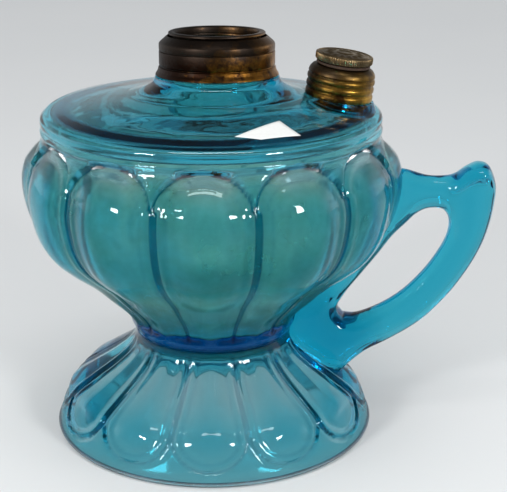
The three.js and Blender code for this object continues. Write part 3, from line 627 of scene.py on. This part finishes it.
# BURNER COLLAR. Thin brass pressed into a ring with a flared foot and two rolled grooves, set on the neck in
# plaster, with a threaded brass sleeve inside it whose top edge is rolled outward over the ring.
SHELL = [(16.35, 0), (16.5, 0.12), (16.4, 0.5), (16.05, 1.0), (15.8, 1.5), (15.72, 2.0), (15.62, 2.25),
         (15.25, 2.42), (15.2, 2.55), (15.42, 2.75), (15.5, 3.0), (15.5, 4.5), (15.5, 6.2), (15.45, 6.4),
         (15.22, 6.52), (15.22, 6.66), (15.45, 6.78), (15.5, 6.95), (15.5, 8.1), (15.42, 8.5), (15.15, 8.85),
         (14.4, 9.5), (13.5, 10.3), (13.3, 10.4), (13.3, 9.9), (14.5, 8.9), (14.9, 8.3), (14.9, 2.9),
         (15.2, 1.6), (15.9, 0.1)]
BORE, THREAD_PITCH, THREAD_DEPTH = 11.1, 1.6, 0.32
BORE_POINTS = [(BORE, s) for s in np.arange(10.4, -1.0, -0.2)]
SLEEVE = [(11.7, -1.0), (11.7, 9.6), (11.85, 10.2), (12.3, 10.55), (12.8, 10.7), (12.98, 10.95), (12.9, 11.3),
          (12.6, 11.5), (11.6, 11.5), (11.25, 11.3), (11.12, 11.0), *BORE_POINTS, (BORE, -1.0)]
COLLAR_COLUMNS = 128


def screw_thread(r, z, turn):
    """Rolled thread inside the sleeve."""
    inside = (r < BORE + 0.01) & (z < 9.8) & (z > -0.6)
    wave = 0.5 + 0.5 * np.cos(2 * math.pi * z / THREAD_PITCH - turn)
    return np.where(inside, r + THREAD_DEPTH * wave, r), z


def aged_brass(dark, warm, share, middle, dusty, grey="#4a4138"):
    """Brass under a patina: brown, with warm glossy gold in rubbed patches and more of it towards the
    handle's side.

    Grey dust lies in spots and on all that is above the height dusty. The grit's pits are too fine to show at
    their real size, so they are drawn about a millimetre apart.
    """
    def build(tree):
        place = add(tree, "TexCoord").outputs["Object"]
        along = add(tree, "SeparateXYZ", Vector=place).outputs
        patch = add(tree, "TexNoise", Vector=place, Scale=spaced(9.091), Detail=7.0,
                    Roughness=0.7).outputs["Fac"]
        # the brass grows warmer and glossier towards the handle's side
        side = add(tree, "MapRange", Value=along["X"], From_Min=middle - 12 * MM, From_Max=middle + 12 * MM,
                   To_Min=-0.13, To_Max=0.13).outputs[0]
        warmth = add(tree, "Math", _0=patch, _1=side).outputs[0]
        tone = add(tree, "ValToRGB", Fac=warmth)
        stops = tone.color_ramp.elements
        stops[0].position, stops[0].color = share - 0.1, linear(dark)
        stops[1].position, stops[1].color = share + 0.16, linear(warm)
        bloom = add(tree, "TexNoise", Vector=place, Scale=spaced(3.03), Detail=5.0,
                    Roughness=0.7).outputs["Fac"]
        spots = add(tree, "MapRange", Value=bloom, From_Min=0.52, From_Max=0.72, To_Max=0.6).outputs[0]
        settled = add(tree, "MapRange", Value=along["Z"], From_Min=dusty - 1.5 * MM,
                      From_Max=dusty + 1.5 * MM, To_Max=0.7).outputs[0]
        veil = add(tree, "Math", {"operation": "MAXIMUM"}, _0=spots, _1=settled).outputs[0]
        skin = add(tree, "Mix", {"data_type": "RGBA"}, Factor=veil, _6=tone.outputs["Color"], _7=linear(grey))
        dull = add(tree, "MapRange", Value=warmth, From_Min=0.35, From_Max=0.75, To_Min=0.5,
                   To_Max=0.27).outputs[0]
        grit = add(tree, "TexNoise", Vector=place, Scale=spaced(1.111), Detail=4.0).outputs["Fac"]
        pits = add(tree, "Bump", Height=grit, Strength=0.35, Distance=0.2 * MM).outputs["Normal"]
        return add(tree, "BsdfPrincipled", Base_Color=skin.outputs[2], Metallic=1.0, Roughness=dull,
                   Normal=pits).outputs[0], None
    return build


def dress(name, mesh, finish, body, replaced):
    """A brass piece that rides on its body and stands for its CAD solid."""
    made = new_object(name, mesh)
    mesh.materials.append(finish)
    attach(made, body)
    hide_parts(replaced)


# Brass left brown by age and lamp smoke: a dull, nearly black skin with gold showing where it is rubbed
COLLAR_DUST = 106.5 * MM  # dust greys the collar's rolled top edge
patina_brass = material("patina_brass", aged_brass("#281810", "#c08432", 0.56, AXIS_X + COLLAR_SHIFT * MM,
                                                   COLLAR_DUST, "#3a332d"))
shell_mesh = lathe("collar_shell", SHELL, COLLAR_COLUMNS, collar_place)
dress("collar_shell", shell_mesh, patina_brass, "lamp", "burner_collar_shell")
sleeve_mesh = lathe("collar_sleeve", SLEEVE, COLLAR_COLUMNS, collar_place, screw_thread)
dress("collar_sleeve", sleeve_mesh, patina_brass, "lamp", "burner_collar_thread")


# PLASTER. Plaster of Paris, poured between the brass collars and the glass and set hard; it is hidden but for
# a thin pale line under each collar.
def set_plaster(tree):
    """Set gypsum: off-white, dead matt and a little grainy, its grains drawn coarse enough to show."""
    place = add(tree, "TexCoord").outputs["Object"]
    grain = add(tree, "TexNoise", Vector=place, Scale=spaced(1.429), Detail=5.0).outputs["Fac"]
    tone = add(tree, "ValToRGB", Fac=grain)
    tone.color_ramp.elements[0].color = linear("#b9b09a")
    tone.color_ramp.elements[1].color = linear("#e0d9c8")
    rough = add(tree, "Bump", Height=grain, Strength=0.6, Distance=0.2 * MM).outputs["Normal"]
    return add(tree, "BsdfPrincipled", Base_Color=tone.outputs["Color"], Roughness=0.9,
               Normal=rough).outputs[0], None


def finish_node(node, finish):
    """Gives a CAD solid that stays a material of its own."""
    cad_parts[node].data.materials.clear()
    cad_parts[node].data.materials.append(finish)


plaster = material("set_plaster", set_plaster)
finish_node("burner_collar_plaster", plaster)
finish_node("filler_plaster", plaster)

# FILLER COLLAR. A small brass ring with three raised beads, its mouth turned in and threaded for the cap. It
# is rubbed brighter than the burner collar, because the cap is the part that hands touch.
FILLER_RING = [(9.0, 0), (9.1, 0.15), (9.1, 1.2), (9.0, 1.5), (8.72, 1.8), (8.72, 2.1), (9.0, 2.4),
               (9.1, 2.7), (9.1, 3.3), (9.0, 3.6), (8.72, 3.9), (8.72, 4.2), (9.0, 4.5), (9.1, 4.8),
               (9.1, 5.3), (8.98, 5.6), (8.74, 5.85), (8.74, 6.1), (8.95, 6.35), (8.95, 6.6), (8.7, 7.3),
               (8.2, 7.95), (7.5, 8.35), (6.9, 8.5), (6.1, 8.5), (6.0, 8.4), (6.0, 5.2), (6.5, 5.2),
               (6.5, 7.6), (7.4, 7.6), (8.0, 7.0), (8.25, 6.4), (8.25, 0)]
RING_COLUMNS = 112

# The same old brass with more of it rubbed: warm gold, brown left in patches, and dust on the turned-in top
RING_DUST = 100.5 * MM
rubbed_brass = material("rubbed_brass", aged_brass("#3d2812", "#b98f3c", 0.5, AXIS_X + FILLER_X * MM,
                                                   RING_DUST))
ring_mesh = lathe("filler_ring", FILLER_RING, RING_COLUMNS, filler_place)
dress("filler_ring", ring_mesh, rubbed_brass, "lamp", "filler_collar")

# FILLER CAP. A turned and knurled brass knob on a threaded plug, closing on a leather washer. Its domed top
# is pressed with plain rings and a ring of small petals.
KNURLS, KNURL_DEPTH = 78, 0.24
KNOB_COLUMNS = 6 * KNURLS
KNOB_EDGE, KNOB_TOP = 11.62, 12.28
DOME_RADIUS, DOME_RISE = 7.3, 0.66
DOME = [(r, KNOB_EDGE + DOME_RISE * (1 - (r / DOME_RADIUS) ** 2)) for r in np.arange(7.1, 0.2, -0.18)]
KNOB = [(0.02, 9.7), (7.3, 9.7), (7.62, 9.85), (7.7, 10.1), (7.7, 10.8), (7.7, 11.3), (7.62, 11.5),
        (DOME_RADIUS, KNOB_EDGE), *DOME, (0.02, KNOB_TOP)]
PETALS, CROWN_SUNK = 14, 0.3


def knurled(r, z, turn):
    """Flutes round the rim, and low rings and petals on the crown."""
    rim = (r > 7.55) & (z > 9.8) & (z < 11.55)
    r2 = np.where(rim, r - KNURL_DEPTH * (0.5 + 0.5 * np.cos(KNURLS * turn)), r)
    crown = (z > KNOB_EDGE) & (r < 7.2)
    rings_up = 0.26 * np.exp(-((r - 6.2) / 0.25) ** 2) + 0.24 * np.exp(-((r - 2.0) / 0.3) ** 2)
    petals = 0.26 * np.exp(-((r - 4.2) / 0.9) ** 2) * (0.5 + 0.5 * np.cos(PETALS * turn))
    return r2, np.where(crown, np.minimum(z - CROWN_SUNK + rings_up + petals, KNOB_TOP), z)


# Brass dulled to a dusty grey brown by hands and oil. Its dust lies in spots alone, so the height for dust is
# far above it.
NO_DUST = 1.0
cap_brass = material("cap_brass", aged_brass("#6b5a42", "#b49c74", 0.5, AXIS_X + FILLER_X * MM, NO_DUST,
                                             "#a0967f"))
knob_mesh = lathe("cap_knob", KNOB, KNOB_COLUMNS, filler_place, knurled)
dress("cap_knob", knob_mesh, cap_brass, "cap", "filler_cap_knob")


def oiled_leather(tree):
    """Tanned leather soaked with lamp oil: dark brown, nearly matt, its grain drawn somewhat coarse."""
    place = add(tree, "TexCoord").outputs["Object"]
    grain = add(tree, "TexVoronoi", Vector=place, Scale=spaced(0.6667)).outputs["Distance"]
    tone = add(tree, "ValToRGB", Fac=grain)
    tone.color_ramp.elements[0].color = linear("#2c1d12")
    tone.color_ramp.elements[1].color = linear("#4b3524")
    creases = add(tree, "Bump", Height=grain, Strength=0.4, Distance=0.2 * MM).outputs["Normal"]
    return add(tree, "BsdfPrincipled", Base_Color=tone.outputs["Color"], Roughness=0.75,
               Normal=creases).outputs[0], None


finish_node("filler_cap_washer", material("oiled_leather", oiled_leather))
finish_node("filler_cap_plug", rubbed_brass)

# LABEL. A bare slip of white gummed paper on the front of the shoulder, lying on the glass. Its four corners
# are given as seen from above, and each point of the sheet is let down onto the glass.
LABEL_NEAR = np.array([(6.9, -38.6), (13.4, -39.0)])
LABEL_FAR = np.array([(17.9, -28.3), (23.1, -34.6)])
LABEL_CELLS, LABEL_LIFT, LABEL_THICK = 14, 0.06, 0.12 * MM
DROP_FROM = 100 * MM

glass_tree = BVHTree.FromObject(glass, bpy.context.evaluated_depsgraph_get())
paper = []
for a in np.arange(LABEL_CELLS + 1) / LABEL_CELLS:
    near = LABEL_NEAR[0] * (1 - a) + LABEL_NEAR[1] * a
    far = LABEL_FAR[0] * (1 - a) + LABEL_FAR[1] * a
    for b in np.arange(LABEL_CELLS + 1) / LABEL_CELLS:
        px, py = near * (1 - b) + far * b
        spot, *_ = glass_tree.ray_cast(Vector((px * MM + AXIS_X, py * MM, DROP_FROM)), Vector((0, 0, -1)))
        paper.append((spot.x / MM, spot.y / MM, spot.z / MM + LABEL_LIFT))
corners = [i * (LABEL_CELLS + 1) + j for i in range(LABEL_CELLS) for j in range(LABEL_CELLS)]
cells = [(c, c + 1, c + LABEL_CELLS + 2, c + LABEL_CELLS + 1) for c in corners]
label = new_object("paper_label", mesh_of("paper_label", paper, cells))
sheet = label.modifiers.new("thickness", "SOLIDIFY")
sheet.thickness, sheet.offset = LABEL_THICK, 1


def white_paper(tree):
    """Uncoated paper: matt white, faintly uneven from its fibres, which are drawn as specks that show."""
    place = add(tree, "TexCoord").outputs["Object"]
    fibres = add(tree, "TexNoise", Vector=place, Scale=spaced(0.8333), Detail=4.0).outputs["Fac"]
    tone = add(tree, "ValToRGB", Fac=fibres)
    tone.color_ramp.elements[0].color = linear("#d9d9d6")
    tone.color_ramp.elements[1].color = linear("#e6e6e3")
    return add(tree, "BsdfPrincipled", Base_Color=tone.outputs["Color"], Roughness=0.6).outputs[0], None


label.data.materials.append(material("gummed_white_paper", white_paper))
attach(label, "lamp")
